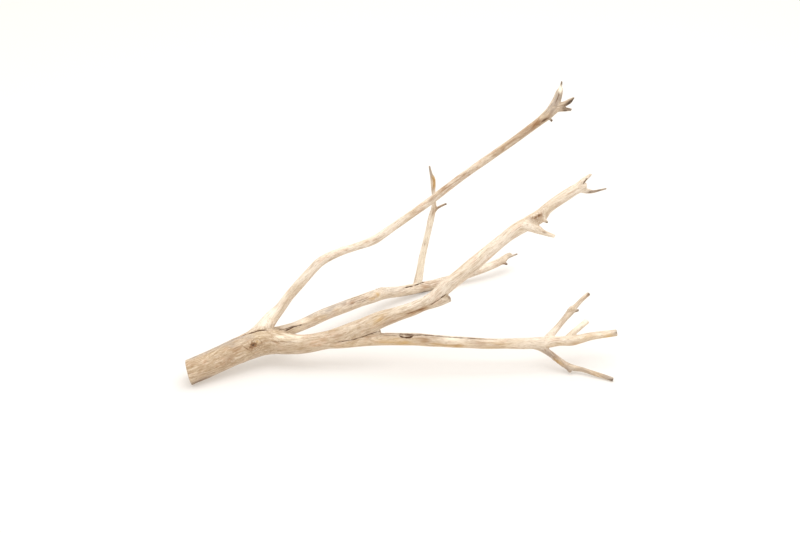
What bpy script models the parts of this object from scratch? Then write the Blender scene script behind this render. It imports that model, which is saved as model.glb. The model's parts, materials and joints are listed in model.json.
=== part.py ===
# A piece of driftwood: one weathered branch that lies on a surface, its thick end sawn off.
#
# Each limb is a round tube along a smooth curve through a few points, measured in
# millimetres from where the sawn end meets the surface: X along the branch, Y away from
# the front, Z up. The limbs grow into one solid, the thick end is sawn flat and the three
# places that carry the branch are worn flat.

import math

import bmesh
import bpy
from mathutils import Euler, Vector

MM = 0.001

# Driving dimensions, in millimetres and degrees.
TRUNK_DIAMETER = 36.0
PLAN_CENTRE = (297.17, 164.31)
SAW_POINT = (-3.9, 7.5, 17.0)
SAW_YAW = 9.0
SAW_PITCH = 12.0
CUTTER_SIZE = 1400.0
SHARP_ANGLE = 40.0
FINE_STEPS = 24

# A limb is its number of sides, the spacing of its rings, and its points: x, y, z, diameter.
STEM = (16, 10.0, [
    (-21, -3, 13, 35), (-3, 7.5, 16.5, TRUNK_DIAMETER), (19, 19.5, 20, TRUNK_DIAMETER),
    (42, 33.5, 24, 36.5), (66, 46, 28.5, 37.5), (88, 58, 32, 38.5), (110, 61, 33, 35.5),
    (132, 56, 33.5, 30.5), (155, 53, 34.5, 27.5), (181, 54, 39, 26), (205, 56, 45, 26),
    (245, 57, 62, 26), (266, 56, 73.5, 23.5), (290, 54, 84.5, 20), (314, 52, 95, 19),
    (335, 50, 109, 18.5), (351, 49, 124.5, 18.5), (388, 50, 160, 20), (430, 57, 197, 17),
    (450, 61, 212.5, 18), (469, 64, 223, 19), (484, 67, 231.5, 18.5), (496, 70, 244, 15),
    (526, 76, 264, 15), (537, 78, 269, 13.5), (546, 80, 271, 9.5),
])

SIDE_LIMBS = {
    "stem_splinter": (8, 5.0, [
        (527, 76, 265, 11), (536, 78, 274, 9), (544, 80, 281.5, 6.5), (552, 82, 288, 3),
    ]),
    "stem_thin_twig": (8, 5.0, [
        (538, 78, 266.5, 9), (548, 80, 263.2, 7), (556, 81, 261.8, 4.2), (565, 83, 263, 2.7),
        (574, 84, 265, 2),
    ]),
    "stem_short_spur": (8, 4.0, [
        (478, 62, 232, 12), (487, 60, 230, 7.5), (494, 59, 225.5, 3),
    ]),
    "stem_long_spur": (8, 6.0, [
        (460, 60, 221.5, 14.5), (472, 58, 219.5, 14.5), (480, 55, 217, 12),
        (487, 52, 214.3, 8), (495, 50.5, 211.8, 6.2), (503, 49, 209.5, 4.8),
    ]),
    "stem_stub": (10, 7.0, [
        (318, 50, 95, 11), (335, 46, 103.5, 12), (349, 44, 110, 12), (361, 43, 115.8, 10.5),
    ]),
    "fork_web": (8, 6.0, [(236, 53, 46, 13), (252, 53, 52, 13), (264, 53, 57.5, 10)]),
    "low_limb": (12, 9.0, [
        (158, 50, 34, 13), (182, 50, 37, 14.5), (208, 49, 39.5, 16.5), (256, 49, 44.5, 17.5),
        (307, 50, 44.5, 17.5), (335, 48, 43.5, 17), (406, 46, 40, 15), (440, 47, 39, 14.7),
        (471, 49, 38, 16), (496, 51, 38, 17), (517, 54, 38.5, 13.5), (536, 57, 37.5, 14.5),
        (550, 60, 39, 12.8), (568, 64, 41.5, 11.3), (602, 69, 43.5, 9.5),
    ]),
    "low_limb_front_twig": (8, 6.0, [
        (477, 49, 36, 11), (491, 47, 32.5, 10.5), (504, 44, 25, 9), (515, 39, 18.5, 8.8),
        (525, 35, 12, 10), (535, 33, 8, 9.4), (551, 29, 6.5, 7), (571, 20, 4.5, 6.8),
        (592, 10, 2.4, 6.2),
    ]),
    "low_limb_front_nub": (8, 4.0, [
        (524, 38, 10, 8), (530, 32, 7.5, 6.5), (533, 26, 5.5, 3.7),
    ]),
    "low_limb_raised_twig": (8, 6.0, [
        (499, 54, 38, 13), (508, 62, 46, 10), (517, 70, 52.5, 8.5), (527, 79, 60.5, 8.3),
        (537, 87, 69, 10.5), (544, 92, 74.5, 7), (553, 99, 81, 5.6), (563, 106, 86.5, 4.8),
    ]),
    "low_limb_raised_spur": (8, 4.0, [(537, 87, 68, 6.5), (547, 84, 72, 3.6)]),
    "low_limb_pale_stub": (8, 6.0, [
        (527, 57, 38, 10), (537, 62, 46, 8), (548, 68, 53.5, 7), (559, 75, 59.5, 6.6),
    ]),
    "high_limb": (12, 9.5, [
        (60, 44, 28, 24), (76, 56, 35, 25.5), (89, 65, 42, 25.5), (100, 76, 50, 23.5),
        (109, 86, 59, 19.5), (121, 93, 70.5, 15.5), (137, 96, 92.5, 14.3),
        (167, 101, 127.5, 13.3), (178, 103, 139, 13.3), (191, 105, 147, 12.6),
        (209, 108, 154, 11.3), (233, 112, 161, 11), (255, 117, 167.5, 12),
        (277, 121, 182, 11), (331, 129, 220.5, 10.7), (386, 137, 263, 10.3),
        (441, 144, 302.5, 10.3), (465, 147, 320.5, 10.7), (484, 150, 335, 11.6),
        (496, 152, 345, 13.8), (505, 154, 354, 15),
    ]),
    "high_limb_prong": (8, 6.0, [
        (498, 152, 347, 12.5), (506, 155, 359, 12), (511, 158, 371, 9), (513, 160, 382, 7),
        (514, 162, 390, 3),
    ]),
    "high_limb_horn": (8, 5.0, [
        (508, 154, 355, 11), (517, 151, 361, 8), (524, 149, 366, 5.5), (530, 147, 372.5, 2),
    ]),
    "high_limb_low_horn": (8, 5.0, [
        (508, 154, 353.5, 11), (517, 151, 353, 7), (527, 148, 354, 3),
    ]),
    "high_limb_nub": (8, 4.0, [
        (493, 152, 344, 8.3), (498, 149, 340.5, 5.5), (502, 147, 338, 3.6),
    ]),
    "back_limb": (12, 9.0, [
        (66, 48, 28, 22.5), (84, 64, 31, 22.5), (104, 77, 33.5, 21), (121, 85.5, 34.5, 18),
        (139.5, 96, 35, 17.3), (161.5, 114, 35.5, 17.5), (184.5, 136.5, 35, 17.8),
        (230.5, 178.5, 31, 17.8), (250.5, 200, 27, 18.3), (270, 220.5, 21.5, 17.4),
        (293, 237.5, 14.5, 16.4), (324, 259.5, 8.6, 16.5), (349, 274, 6.9, 15.5),
        (374, 284.5, 9.5, 14), (402.5, 296, 13.5, 13), (428, 308.5, 17, 12.5),
        (446, 319.5, 19.5, 12.6), (458.5, 329.5, 22, 11),
    ]),
    "back_limb_upper_tip": (8, 5.0, [
        (451, 321.5, 20.5, 11), (460.5, 332.5, 23, 9.5), (468.5, 337.5, 25.5, 6.5),
    ]),
    "back_limb_thin_tip": (8, 5.0, [
        (461.5, 332, 22.3, 6.4), (470.5, 335, 23.8, 3.6), (478.5, 338.5, 25, 2.2),
    ]),
    "back_limb_lower_tip": (8, 4.0, [
        (447, 320.5, 19.5, 10), (455, 321.5, 18.5, 6.5), (461.5, 318.5, 17, 3.2),
    ]),
    "upright_twig": (10, 7.0, [
        (317, 260, 7, 12.5), (320, 263, 18, 12.8), (323, 265, 34.5, 11.2),
        (326, 264, 57.5, 10.4), (331, 263, 84, 9.4), (336, 262, 110.5, 9),
        (340, 262, 132, 9.6), (343, 262, 146, 8), (343, 262, 163, 6),
        (342, 262, 174.5, 6.2), (341.5, 262, 191, 7.4), (339.5, 262, 201, 5),
        (337, 262, 215, 2.4),
    ]),
    "upright_twig_fork": (8, 5.0, [
        (340, 262, 134.5, 8), (347, 261, 144, 4.5), (353, 259, 149.5, 3.6),
        (362, 257, 155, 2.7),
    ]),
}


def clear_scene():
    for old in list(bpy.data.objects):
        bpy.data.objects.remove(old, do_unlink=True)


# A point measured from the sawn end becomes a place in the part's own frame, in metres.
def placed(x, y, z):
    return Vector((x - PLAN_CENTRE[0], y - PLAN_CENTRE[1], z)) * MM


# The value at t between start and end, on a smooth curve that also minds its neighbours.
def between(before, start, end, after, t):
    return 0.5 * (
        2 * start
        + (end - before) * t
        + (2 * before - 5 * start + 4 * end - after) * t * t
        + (3 * start - before - 3 * end + after) * t * t * t
    )


# Many close centres and radii along a limb, in metres.
def fine_path(points):
    centres = [placed(x, y, z) for x, y, z, _ in points]
    radii = [0.5 * diameter * MM for _, _, _, diameter in points]
    last = len(points) - 1
    path = []
    for i in range(last):
        near = (max(i - 1, 0), i, i + 1, min(i + 2, last))
        for step in range(FINE_STEPS):
            t = step / FINE_STEPS
            centre = between(*(centres[n] for n in near), t)
            radius = between(*(radii[n] for n in near), t)
            path.append((centre, radius))
    path.append((centres[last], radii[last]))
    return path


# Centres and radii of a limb's rings, all one equal step apart.
def limb_rings(points, spacing):
    path = fine_path(points)
    travelled = [0.0]
    for (start, _), (end, _) in zip(path, path[1:]):
        travelled.append(travelled[-1] + (end - start).length)
    count = max(2, round(travelled[-1] / (spacing * MM)))
    rings = []
    at = 0
    for ring in range(count + 1):
        target = travelled[-1] * ring / count
        while at < len(path) - 2 and travelled[at + 1] < target:
            at += 1
        part = (target - travelled[at]) / (travelled[at + 1] - travelled[at])
        centre = path[at][0].lerp(path[at + 1][0], part)
        radius = path[at][1] + (path[at + 1][1] - path[at][1]) * part
        rings.append((centre, radius))
    return rings


# A closed round tube along the limb, with flat ends.
def limb_mesh(name, sides, spacing, points):
    rings = limb_rings(points, spacing)
    last = len(rings) - 1
    turns = [2 * math.pi * n / sides for n in range(sides)]
    across = Vector((0, 1, 0))
    bm = bmesh.new()
    loops = []
    for i, (centre, radius) in enumerate(rings):
        ahead = (rings[min(i + 1, last)][0] - rings[max(i - 1, 0)][0]).normalized()
        across = (across - ahead * across.dot(ahead)).normalized()
        up = across.cross(ahead)
        loop = []
        for turn in turns:
            outwards = math.cos(turn) * across + math.sin(turn) * up
            loop.append(bm.verts.new(centre + radius * outwards))
        loops.append(loop)
    for near, far in zip(loops, loops[1:]):
        for n in range(sides):
            after = (n + 1) % sides
            bm.faces.new((near[n], near[after], far[after], far[n]))
    bm.faces.new(loops[0])
    bm.faces.new(loops[-1])
    bmesh.ops.recalc_face_normals(bm, faces=bm.faces)
    mesh = bpy.data.meshes.new(name)
    bm.to_mesh(mesh)
    bm.free()
    return mesh


def add_object(name, mesh):
    made = bpy.data.objects.new(name, mesh)
    bpy.context.scene.collection.objects.link(made)
    return made


def make_guide(guide):
    guide.hide_render = True
    guide.display_type = "WIRE"


# A large cube whose +X face, before it is turned, lies at the given place.
def cutting_block(name, location, rotation):
    half = 0.5 * CUTTER_SIZE * MM
    bm = bmesh.new()
    bmesh.ops.create_cube(bm, size=2 * half)
    bmesh.ops.translate(bm, verts=bm.verts, vec=(-half, 0, 0))
    mesh = bpy.data.meshes.new(name)
    bm.to_mesh(mesh)
    bm.free()
    block = add_object(name, mesh)
    block.location = location
    block.rotation_euler = rotation
    make_guide(block)
    return block


def add_boolean(target, name, operation, other):
    step = target.modifiers.new(name, "BOOLEAN")
    step.operation = operation
    step.solver = "EXACT"
    step.object = other


def weathered_wood():
    colour = (0.66, 0.53, 0.39, 1.0)
    material = bpy.data.materials.new("weathered_wood")
    material.diffuse_color = colour
    material.use_nodes = True
    surface = material.node_tree.nodes["Principled BSDF"]
    surface.inputs["Base Color"].default_value = colour
    surface.inputs["Roughness"].default_value = 0.75
    surface.inputs["Metallic"].default_value = 0.0
    return material


def build_driftwood():
    driftwood = add_object("driftwood", limb_mesh("driftwood", *STEM))
    for name, limb in SIDE_LIMBS.items():
        side_limb = add_object(name, limb_mesh(name, *limb))
        make_guide(side_limb)
        add_boolean(driftwood, "grow_" + name, "UNION", side_limb)

    saw_turn = Euler((0, math.radians(-SAW_PITCH), math.radians(SAW_YAW)))
    saw = cutting_block("saw_cut", placed(*SAW_POINT), saw_turn)
    add_boolean(driftwood, "saw_off_end", "DIFFERENCE", saw)

    floor_turn = Euler((0, math.radians(-90), 0))
    floor = cutting_block("resting_surface", Vector((0, 0, 0)), floor_turn)
    add_boolean(driftwood, "wear_underside", "DIFFERENCE", floor)

    driftwood.data.materials.append(weathered_wood())
    driftwood.data.shade_smooth()
    driftwood.data.set_sharp_from_angle(angle=math.radians(SHARP_ANGLE))


clear_scene()
build_driftwood()
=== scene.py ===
import json
import math

import bpy
import numpy as np
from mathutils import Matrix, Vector, noise

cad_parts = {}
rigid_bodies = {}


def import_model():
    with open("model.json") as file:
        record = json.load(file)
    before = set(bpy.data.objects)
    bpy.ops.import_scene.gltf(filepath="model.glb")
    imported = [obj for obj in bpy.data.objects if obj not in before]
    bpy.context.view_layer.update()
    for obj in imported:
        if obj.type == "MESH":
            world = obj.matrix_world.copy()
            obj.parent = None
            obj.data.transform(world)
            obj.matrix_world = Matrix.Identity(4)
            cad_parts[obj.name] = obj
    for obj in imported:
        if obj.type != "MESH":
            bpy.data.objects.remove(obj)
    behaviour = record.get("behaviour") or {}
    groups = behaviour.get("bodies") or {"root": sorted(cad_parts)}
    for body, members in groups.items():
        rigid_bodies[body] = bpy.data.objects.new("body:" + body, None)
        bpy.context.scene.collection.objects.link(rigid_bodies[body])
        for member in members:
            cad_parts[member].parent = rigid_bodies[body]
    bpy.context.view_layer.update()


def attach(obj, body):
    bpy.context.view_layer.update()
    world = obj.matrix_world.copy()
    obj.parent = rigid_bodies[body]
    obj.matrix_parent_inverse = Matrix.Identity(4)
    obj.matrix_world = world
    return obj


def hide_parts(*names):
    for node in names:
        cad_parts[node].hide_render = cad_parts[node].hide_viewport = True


mm = 0.001  # in metres
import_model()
print("frame loaded")


# Sizes of the branch, in mm unless the name says otherwise
branch = {
    "planCentre": (297.17, 164.31),  # drawing point that lies on the part's origin
    "pathStep": 1.0,  # distance between samples along a limb
    "spanSamples": 24,  # fine samples between two centre points
    "tubeRoundness": 7,
    "voxel": 0.85,  # grid that fuses the limbs
    "blend": 2.6,  # how far two limbs' grain runs into each other
    "grainReach": 12,  # how far outside a limb its grain is followed
    "batch": 8000,  # spots measured at a time
    "faces": 192000,  # triangles kept after the carving
    "sawPoint": (-3.9, 7.5, 17),
    "sawYawDeg": 9,
    "sawPitchDeg": 12,
    "sawEdgeDeep": 0.5,  # worn edge round the sawn end
    "sawEdgeWide": 0.8,
    "sawnCorners": 20,  # only the sawn face has more corners than this
}

# Each limb: the limb it grows from, how grey and how warm its wood is where it is either,
# its tone at equal steps along it (0 bleached, 1 deep tan), and its centre points and
# diameters (x, y, z, diameter), measured from where the sawn end touches the floor: x along
# the branch, y away from the camera, z up
limbs = {
    "stem": {"parent": None,
        "tones": (1, 1, 0.95, 0.7, 0.55, 0.5, 0.3, 0.15, 0.1, 0.15, 0.2, 0.25), "points": [
        (-21, -3, 13, 35), (-3, 7.5, 16.5, 36), (19, 19.5, 20, 36), (42, 33.5, 24, 36.5),
        (66, 46, 28.5, 37.5), (88, 58, 32, 38.5), (110, 61, 33, 35.5), (132, 56, 33.5, 30.5),
        (155, 53, 34.5, 27.5), (181, 54, 39, 26), (205, 56, 45, 26), (245, 57, 62, 26),
        (266, 56, 73.5, 23.5), (290, 54, 84.5, 20), (314, 52, 95, 19), (335, 50, 109, 18.5),
        (351, 49, 124.5, 18.5), (388, 50, 160, 20), (430, 57, 197, 17), (450, 61, 212.5, 18),
        (469, 64, 223, 19), (484, 67, 231.5, 18.5), (496, 70, 244, 15), (526, 76, 264, 15),
        (537, 78, 269, 13.5), (546, 80, 271, 9.5)]},
    "stemSplinter": {"parent": "stem", "tones": (0.1, 0.2), "points": [(527, 76, 265, 11),
        (536, 78, 274, 9), (544, 80, 281.5, 6.5), (552, 82, 288, 3)]},
    "stemThinTwig": {"parent": "stem", "grey": 0.1, "tones": (0.1, 0.3), "points": [
        (538, 78, 266.5, 9), (548, 80, 263.2, 7), (556, 81, 261.8, 4.2), (565, 83, 263, 2.9),
        (574, 84, 265, 2.4)]},
    "stemShortSpur": {"parent": "stem", "warm": 0.1, "tones": (0.1, 0.3), "points": [
        (478, 62, 232, 12), (487, 60, 230, 7.5), (494, 59, 225.5, 3)]},
    "stemLongSpur": {"parent": "stem", "tones": (0, 0.1), "points": [(460, 60, 221.5, 14.5),
        (472, 58, 219.5, 14.5), (480, 55, 217, 12), (487, 52, 214.3, 8), (495, 50.5, 211.8, 6.2),
        (503, 49, 209.5, 4.8)]},
    "stemStub": {"parent": "stem", "grey": 0.1, "tones": (0.3, 0.3), "points": [
        (318, 50, 95, 11), (335, 46, 103.5, 12), (349, 44, 110, 12), (361, 43, 115.8, 10.5)]},
    "forkWeb": {"parent": "stem", "tones": (0.5, 0.5), "points": [(236, 53, 46, 13),
        (252, 53, 52, 13), (264, 53, 57.5, 10)]},
    "lowLimb": {"parent": "stem", "warm": 0.25, "tones": (0.7, 0.5, 0.3, 0.2, 0.2, 0.05, 0),
        "points": [(158, 50, 34, 13), (182, 50, 37, 14.5), (208, 49, 39.5, 16.5),
        (256, 49, 44.5, 17.5), (307, 50, 44.5, 17.5), (335, 48, 43.5, 17), (406, 46, 40, 15),
        (440, 47, 39, 14.7), (471, 49, 38, 16), (496, 51, 38, 17), (517, 54, 38.5, 13.5),
        (536, 57, 37.5, 14.5), (550, 60, 39, 12.8), (568, 64, 41.5, 11.3), (602, 69, 43.5, 9.5)]},
    "frontTwig": {"parent": "lowLimb", "grey": 0.35, "tones": (0.2, 0.45, 0.3), "points": [
        (477, 49, 36, 11), (491, 47, 32.5, 10.5), (504, 44, 25, 9), (515, 39, 18.5, 8.8),
        (525, 35, 12, 10), (535, 33, 8, 9.4), (551, 29, 6.5, 7), (571, 20, 4.5, 6.8),
        (592, 10, 2.4, 6.2)]},
    "frontNub": {"parent": "frontTwig", "grey": 0.4, "tones": (0.5, 0.5), "points": [
        (524, 38, 10, 8), (530, 32, 7.5, 6.6), (533.5, 26, 5.2, 4.8)]},
    "raisedTwig": {"parent": "lowLimb", "grey": 0.1, "tones": (0.05, 0.3, 0.4), "points": [
        (499, 54, 38, 13), (508, 62, 46, 10), (517, 70, 52.5, 8.5), (527, 79, 60.5, 8.3),
        (537, 87, 69, 10.5), (544, 92, 74.5, 7), (553, 99, 81, 6.2), (563, 106, 86.5, 6)]},
    "raisedSpur": {"parent": "raisedTwig", "grey": 0.1, "tones": (0.4, 0.5), "points": [
        (537, 87, 68, 6.5), (547, 84, 72, 3.6)]},
    "paleStub": {"parent": "lowLimb", "tones": (0, 0), "points": [(527, 57, 38, 10),
        (537, 62, 46, 8.8), (548, 68, 53.5, 8.2), (559, 75, 59.5, 8)]},
    "highLimb": {"parent": "stem", "tones": (0.4, 0, 0.05, 0.1, 0.2, 0.4, 0.65, 0.75),
        "points": [(60, 44, 28, 24), (76, 56, 35, 25.5), (89, 65, 42, 25.5), (100, 76, 50, 23.5),
        (109, 86, 59, 19.5), (121, 93, 70.5, 15.5), (137, 96, 92.5, 14.3),
        (167, 101, 127.5, 13.3), (178, 103, 139, 13.3), (191, 105, 147, 12.6),
        (209, 108, 154, 11.3), (233, 112, 161, 11), (255, 117, 167.5, 12), (277, 121, 182, 11),
        (331, 129, 220.5, 10.7), (386, 137, 263, 10.3), (441, 144, 302.5, 10.3),
        (465, 147, 320.5, 10.7), (484, 150, 335, 11.6), (496, 152, 345, 13.8),
        (505, 154, 354, 15)]},
    "highProng": {"parent": "highLimb", "grey": 0.25, "tones": (0.6, 0.5), "points": [
        (498, 152, 347, 12.5), (504.5, 155, 358, 12.5), (508.5, 157.5, 366, 11.5),
        (510.5, 159, 372.5, 10.5), (512, 160, 378, 8.5), (512.8, 160.5, 381.5, 6)]},
    "highSliver": {"parent": "highProng", "grey": 0.3, "tones": (0.8, 1), "points": [
        (511, 159, 373, 5), (512.3, 160, 380, 4), (513.4, 161.2, 385.5, 3),
        (514.2, 162, 390.3, 2)]},
    "highHorn": {"parent": "highLimb", "grey": 0.25, "tones": (0.65, 0.9), "points": [
        (508, 154, 355, 11), (515, 151.5, 359.5, 8.5), (521, 149.5, 363.5, 7.2),
        (525, 148.6, 366.8, 6.6), (528, 147.8, 370, 4), (530.3, 147, 372.8, 2.2)]},
    "highLowHorn": {"parent": "highLimb", "grey": 0.25, "tones": (0.65, 0.9), "points": [
        (508, 154, 353.5, 11), (516, 151.3, 353.3, 6.8), (520, 150, 353.8, 6.2),
        (524, 149, 354, 4.6), (528, 148, 354, 3.8)]},
    "highNub": {"parent": "highLimb", "grey": 0.2, "tones": (0.8, 1), "points": [
        (493, 152, 344, 8.3), (498, 149, 340.8, 4.2), (500.3, 147.8, 339, 3.4),
        (502.3, 147, 337.6, 4.6)]},
    "backLimb": {"parent": "stem", "grey": 0.15, "warm": 0.1,
        "tones": (0.7, 0.15, 0.25, 0.2, 0.1, 0), "points": [(66, 48, 28, 22.5),
        (84, 64, 31, 22.5), (104, 77, 33.5, 21), (121, 85.5, 34.5, 18), (139.5, 96, 35, 17.3),
        (161.5, 114, 35.5, 17.5), (184.5, 136.5, 35, 17.8), (230.5, 178.5, 31, 17.8),
        (250.5, 200, 27, 18.3), (270, 220.5, 21.5, 17.4), (293, 237.5, 14.5, 16.4),
        (324, 259.5, 8.6, 16.5), (349, 274, 6.9, 15.5), (374, 284.5, 9.5, 14),
        (402.5, 296, 13.5, 13), (428, 308.5, 17, 12.5), (446, 319.5, 19.5, 12.6),
        (458.5, 329.5, 22, 11)]},
    "backUpperTip": {"parent": "backLimb", "grey": 0.2, "tones": (0.1, 0.3), "points": [
        (451, 321.5, 20.5, 11), (460.5, 332.5, 23, 9.5), (468.5, 337.5, 25.5, 6.5)]},
    "backThinTip": {"parent": "backLimb", "grey": 0.4, "tones": (0.3, 0.6), "points": [
        (461.5, 332, 22.3, 6.4), (470.5, 335, 23.8, 3.6), (478.5, 338.5, 25, 2.4)]},
    "backLowerTip": {"parent": "backLimb", "grey": 0.2, "warm": 0.1, "tones": (0.2, 0.6),
        "points": [(447, 320.5, 19.5, 10), (455, 321.5, 18.5, 6.5), (461.5, 318.5, 17, 3.2)]},
    "uprightTwig": {"parent": "backLimb", "grey": 0.05,
        "tones": (0.2, 0, 0, 0, 0.1, 0.5), "points": [(317, 260, 7, 12.5),
        (320, 263, 18, 12.8), (323, 265, 34.5, 11.2), (326, 264, 57.5, 10.4), (331, 263, 84, 9.4),
        (336, 262, 110.5, 9), (340, 262, 132, 9.6), (343, 262, 146, 8), (343, 262, 163, 5.6),
        (342, 262, 174.5, 6.4), (341.8, 262, 185, 7.6), (341, 262, 194, 7.4),
        (338.5, 262, 202, 4.4), (335.8, 262, 215, 2.4)]},
    "uprightFork": {"parent": "uprightTwig", "grey": 0.3, "tones": (0.4, 0.9), "points": [
        (340, 262, 134.5, 8), (347, 261, 144, 4.5), (353, 259, 149.5, 3.6),
        (362, 257, 155, 2.7)]},
}


# Drawing millimetres to the part's own frame, in metres
def placed(spots):
    centre = np.array([*branch["planCentre"], 0.0])
    return (np.asarray(spots, float)[..., :3] - centre) * mm


def lengths(vectors):
    return np.linalg.norm(vectors, axis=1)


# A smooth curve through the points, sampled at equal steps: centres and radii in metres
def smoothPath(points):
    values = np.hstack([placed(points), np.array(points, float)[:, 3:4] * 0.5 * mm])
    padded = np.vstack([values[0], values, values[-1]])
    fine = []
    for i in range(len(values) - 1):
        before, start, end, after = padded[i:i + 4]
        for t in np.linspace(0, 1, branch["spanSamples"], endpoint=False):
            fine.append(0.5 * (2 * start + (end - before) * t
                               + (2 * before - 5 * start + 4 * end - after) * t ** 2
                               + (3 * start - before - 3 * end + after) * t ** 3))
    fine = np.array(fine + [values[-1]])
    travelled = np.append(0, np.cumsum(lengths(np.diff(fine[:, :3], axis=0))))
    steps = round(travelled[-1] / (branch["pathStep"] * mm))
    even = np.linspace(0, travelled[-1], steps + 1)
    path = np.column_stack([np.interp(even, travelled, fine[:, k]) for k in range(4)])
    return path[:, :3], path[:, 3], even


# Directions along a path, carried untwisted so that the grain doesn't spiral
def carryFrames(path, firstAcross):
    ahead = np.gradient(path, axis=0)
    ahead /= lengths(ahead)[:, None]
    across = np.empty_like(path)
    side = np.array(firstAcross, float)
    for i, forward in enumerate(ahead):
        side = side - forward * side.dot(forward)
        side /= np.linalg.norm(side)
        across[i] = side
    return ahead, across, np.cross(ahead, across)


# Each limb takes over its parent's grain where it leaves it
for name, limb in limbs.items():
    limb["path"], limb["radius"], limb["along"] = smoothPath(limb["points"])
    limb["tone"] = np.interp(np.linspace(0, 1, len(limb["path"])),
                             np.linspace(0, 1, len(limb["tones"])), limb["tones"])
    parent = limbs.get(limb["parent"])
    firstAcross, limb["shift"] = (0, 1, 0), np.zeros(3)
    if parent:
        root = lengths(parent["path"] - limb["path"][0]).argmin()
        turn = Vector(parent["ahead"][root]).rotation_difference(
            Vector(limb["path"][1] - limb["path"][0]))
        firstAcross = turn @ Vector(parent["across"][root])
        gap = limb["path"][0] - parent["path"][root]
        limb["shift"] = parent["shift"] + np.array([
            parent["along"][root], gap @ parent["across"][root], gap @ parent["up"][root]])
    limb["ahead"], limb["across"], limb["up"] = carryFrames(limb["path"], firstAcross)
print("limb paths ready")


# Selects only these pieces, with the first as the active one
def selectOnly(*pieces):
    bpy.ops.object.select_all(action="DESELECT")
    for piece in pieces:
        piece.select_set(True)
    bpy.context.view_layer.objects.active = pieces[0] if pieces else None


# One limb as a round tube: a path curve with a bevel, made a mesh
def growLimb(limb):
    selectOnly()
    bpy.ops.curve.primitive_nurbs_path_add(location=(0, 0, 0))
    curve = bpy.context.object.data
    curve.splines.clear()
    spline = curve.splines.new("POLY")
    spline.points.add(len(limb["path"]) - 1)
    places = np.column_stack([limb["path"], np.ones(len(limb["path"]))])
    spline.points.foreach_set("co", places.ravel())
    spline.points.foreach_set("radius", limb["radius"] * 1000)
    curve.bevel_depth = mm  # the points' radii are in mm
    curve.bevel_resolution = branch["tubeRoundness"]
    curve.use_fill_caps = True
    bpy.ops.object.convert(target="MESH")
    return bpy.context.object


def applyModifier(piece, kind, **settings):
    step = piece.modifiers.new(kind.lower(), kind)
    for key, value in settings.items():
        setattr(step, key, value)
    bpy.context.view_layer.objects.active = piece
    bpy.ops.object.modifier_apply(modifier=step.name)


selectOnly(*[growLimb(limb) for limb in limbs.values()])
bpy.ops.object.join()
wood = bpy.context.object
wood.name = wood.data.name = "driftwoodBranch"
applyModifier(wood, "REMESH", mode="VOXEL", voxel_size=branch["voxel"] * mm)
print("limbs fused:", len(wood.data.vertices), "points")


# Where the mesh's points are and which way it faces there
def readSurface(mesh):
    spots, facing = np.empty((2, len(mesh.vertices) * 3))
    mesh.vertices.foreach_get("co", spots)
    mesh.vertex_normals.foreach_get("vector", facing)
    return spots.reshape(-1, 3), facing.reshape(-1, 3)


def moveSpots(mesh, spots):
    mesh.vertices.foreach_set("co", spots.ravel())
    mesh.update()


# The spots within reach of the box round a path
def spotsNear(spots, path, reach):
    low, high = path.min(0) - reach, path.max(0) + reach
    return np.flatnonzero(np.all((spots > low) & (spots < high), axis=1))


# Where each spot lies on one limb: along, across and above its middle, how far outside it,
# and at which sample of its path
def measureOn(limb, spots):
    path = limb["path"]
    nearest = np.empty(len(spots), int)
    for first in range(0, len(spots), branch["batch"]):
        part = slice(first, first + branch["batch"])
        nearest[part] = ((path ** 2).sum(1) - 2 * spots[part] @ path.T).argmin(1)
    gap = spots - path[nearest]
    beyond = (gap * limb["ahead"][nearest]).sum(1)
    across = (gap * limb["across"][nearest]).sum(1)
    up = (gap * limb["up"][nearest]).sum(1)
    outside = np.hypot(across, up) - limb["radius"][nearest]
    pastStart, pastEnd = nearest == 0, nearest == len(path) - 1
    outside = np.where(pastStart, np.maximum(outside, -beyond), outside)
    outside = np.where(pastEnd, np.maximum(outside, beyond), outside)
    return limb["along"][nearest] + beyond, across, up, outside, nearest


# The grain at each spot: its place along, across and above the limb that it belongs to,
# blended where limbs meet, with each limb's share of the spot
def followGrain(spots):
    count = len(spots)
    outside = np.full((len(limbs), count), 1.0)  # a metre is far outside
    grains, ahead, looks = np.zeros((3, len(limbs), count, 3))
    radius = np.zeros((len(limbs), count))
    for i, limb in enumerate(limbs.values()):
        near = spotsNear(spots, limb["path"], limb["radius"].max() + branch["grainReach"] * mm)
        along, across, up, gap, nearest = measureOn(limb, spots[near])
        outside[i, near] = gap
        grains[i, near] = np.column_stack([along, across, up]) + limb["shift"]
        ahead[i, near] = limb["ahead"][nearest]
        radius[i, near] = limb["radius"][nearest]
        looks[i, near, 0] = limb["tone"][nearest]
        looks[i, near, 1:] = limb.get("grey", 0), limb.get("warm", 0)
    shares = np.exp((outside.min(0) - outside) / (branch["blend"] * mm))
    shares /= shares.sum(0)
    found = {
        "shares": shares,
        "grain": (shares[:, :, None] * grains).sum(0),
        "ahead": (shares[:, :, None] * ahead).sum(0),
        "looks": (shares[:, :, None] * looks).sum(0),
        "radius": (shares * radius).sum(0),
        "crotch": 1 - shares.max(0),
        "outside": outside.min(0),
    }
    found["ahead"] /= lengths(found["ahead"])[:, None] + 1e-9
    return found


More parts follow.
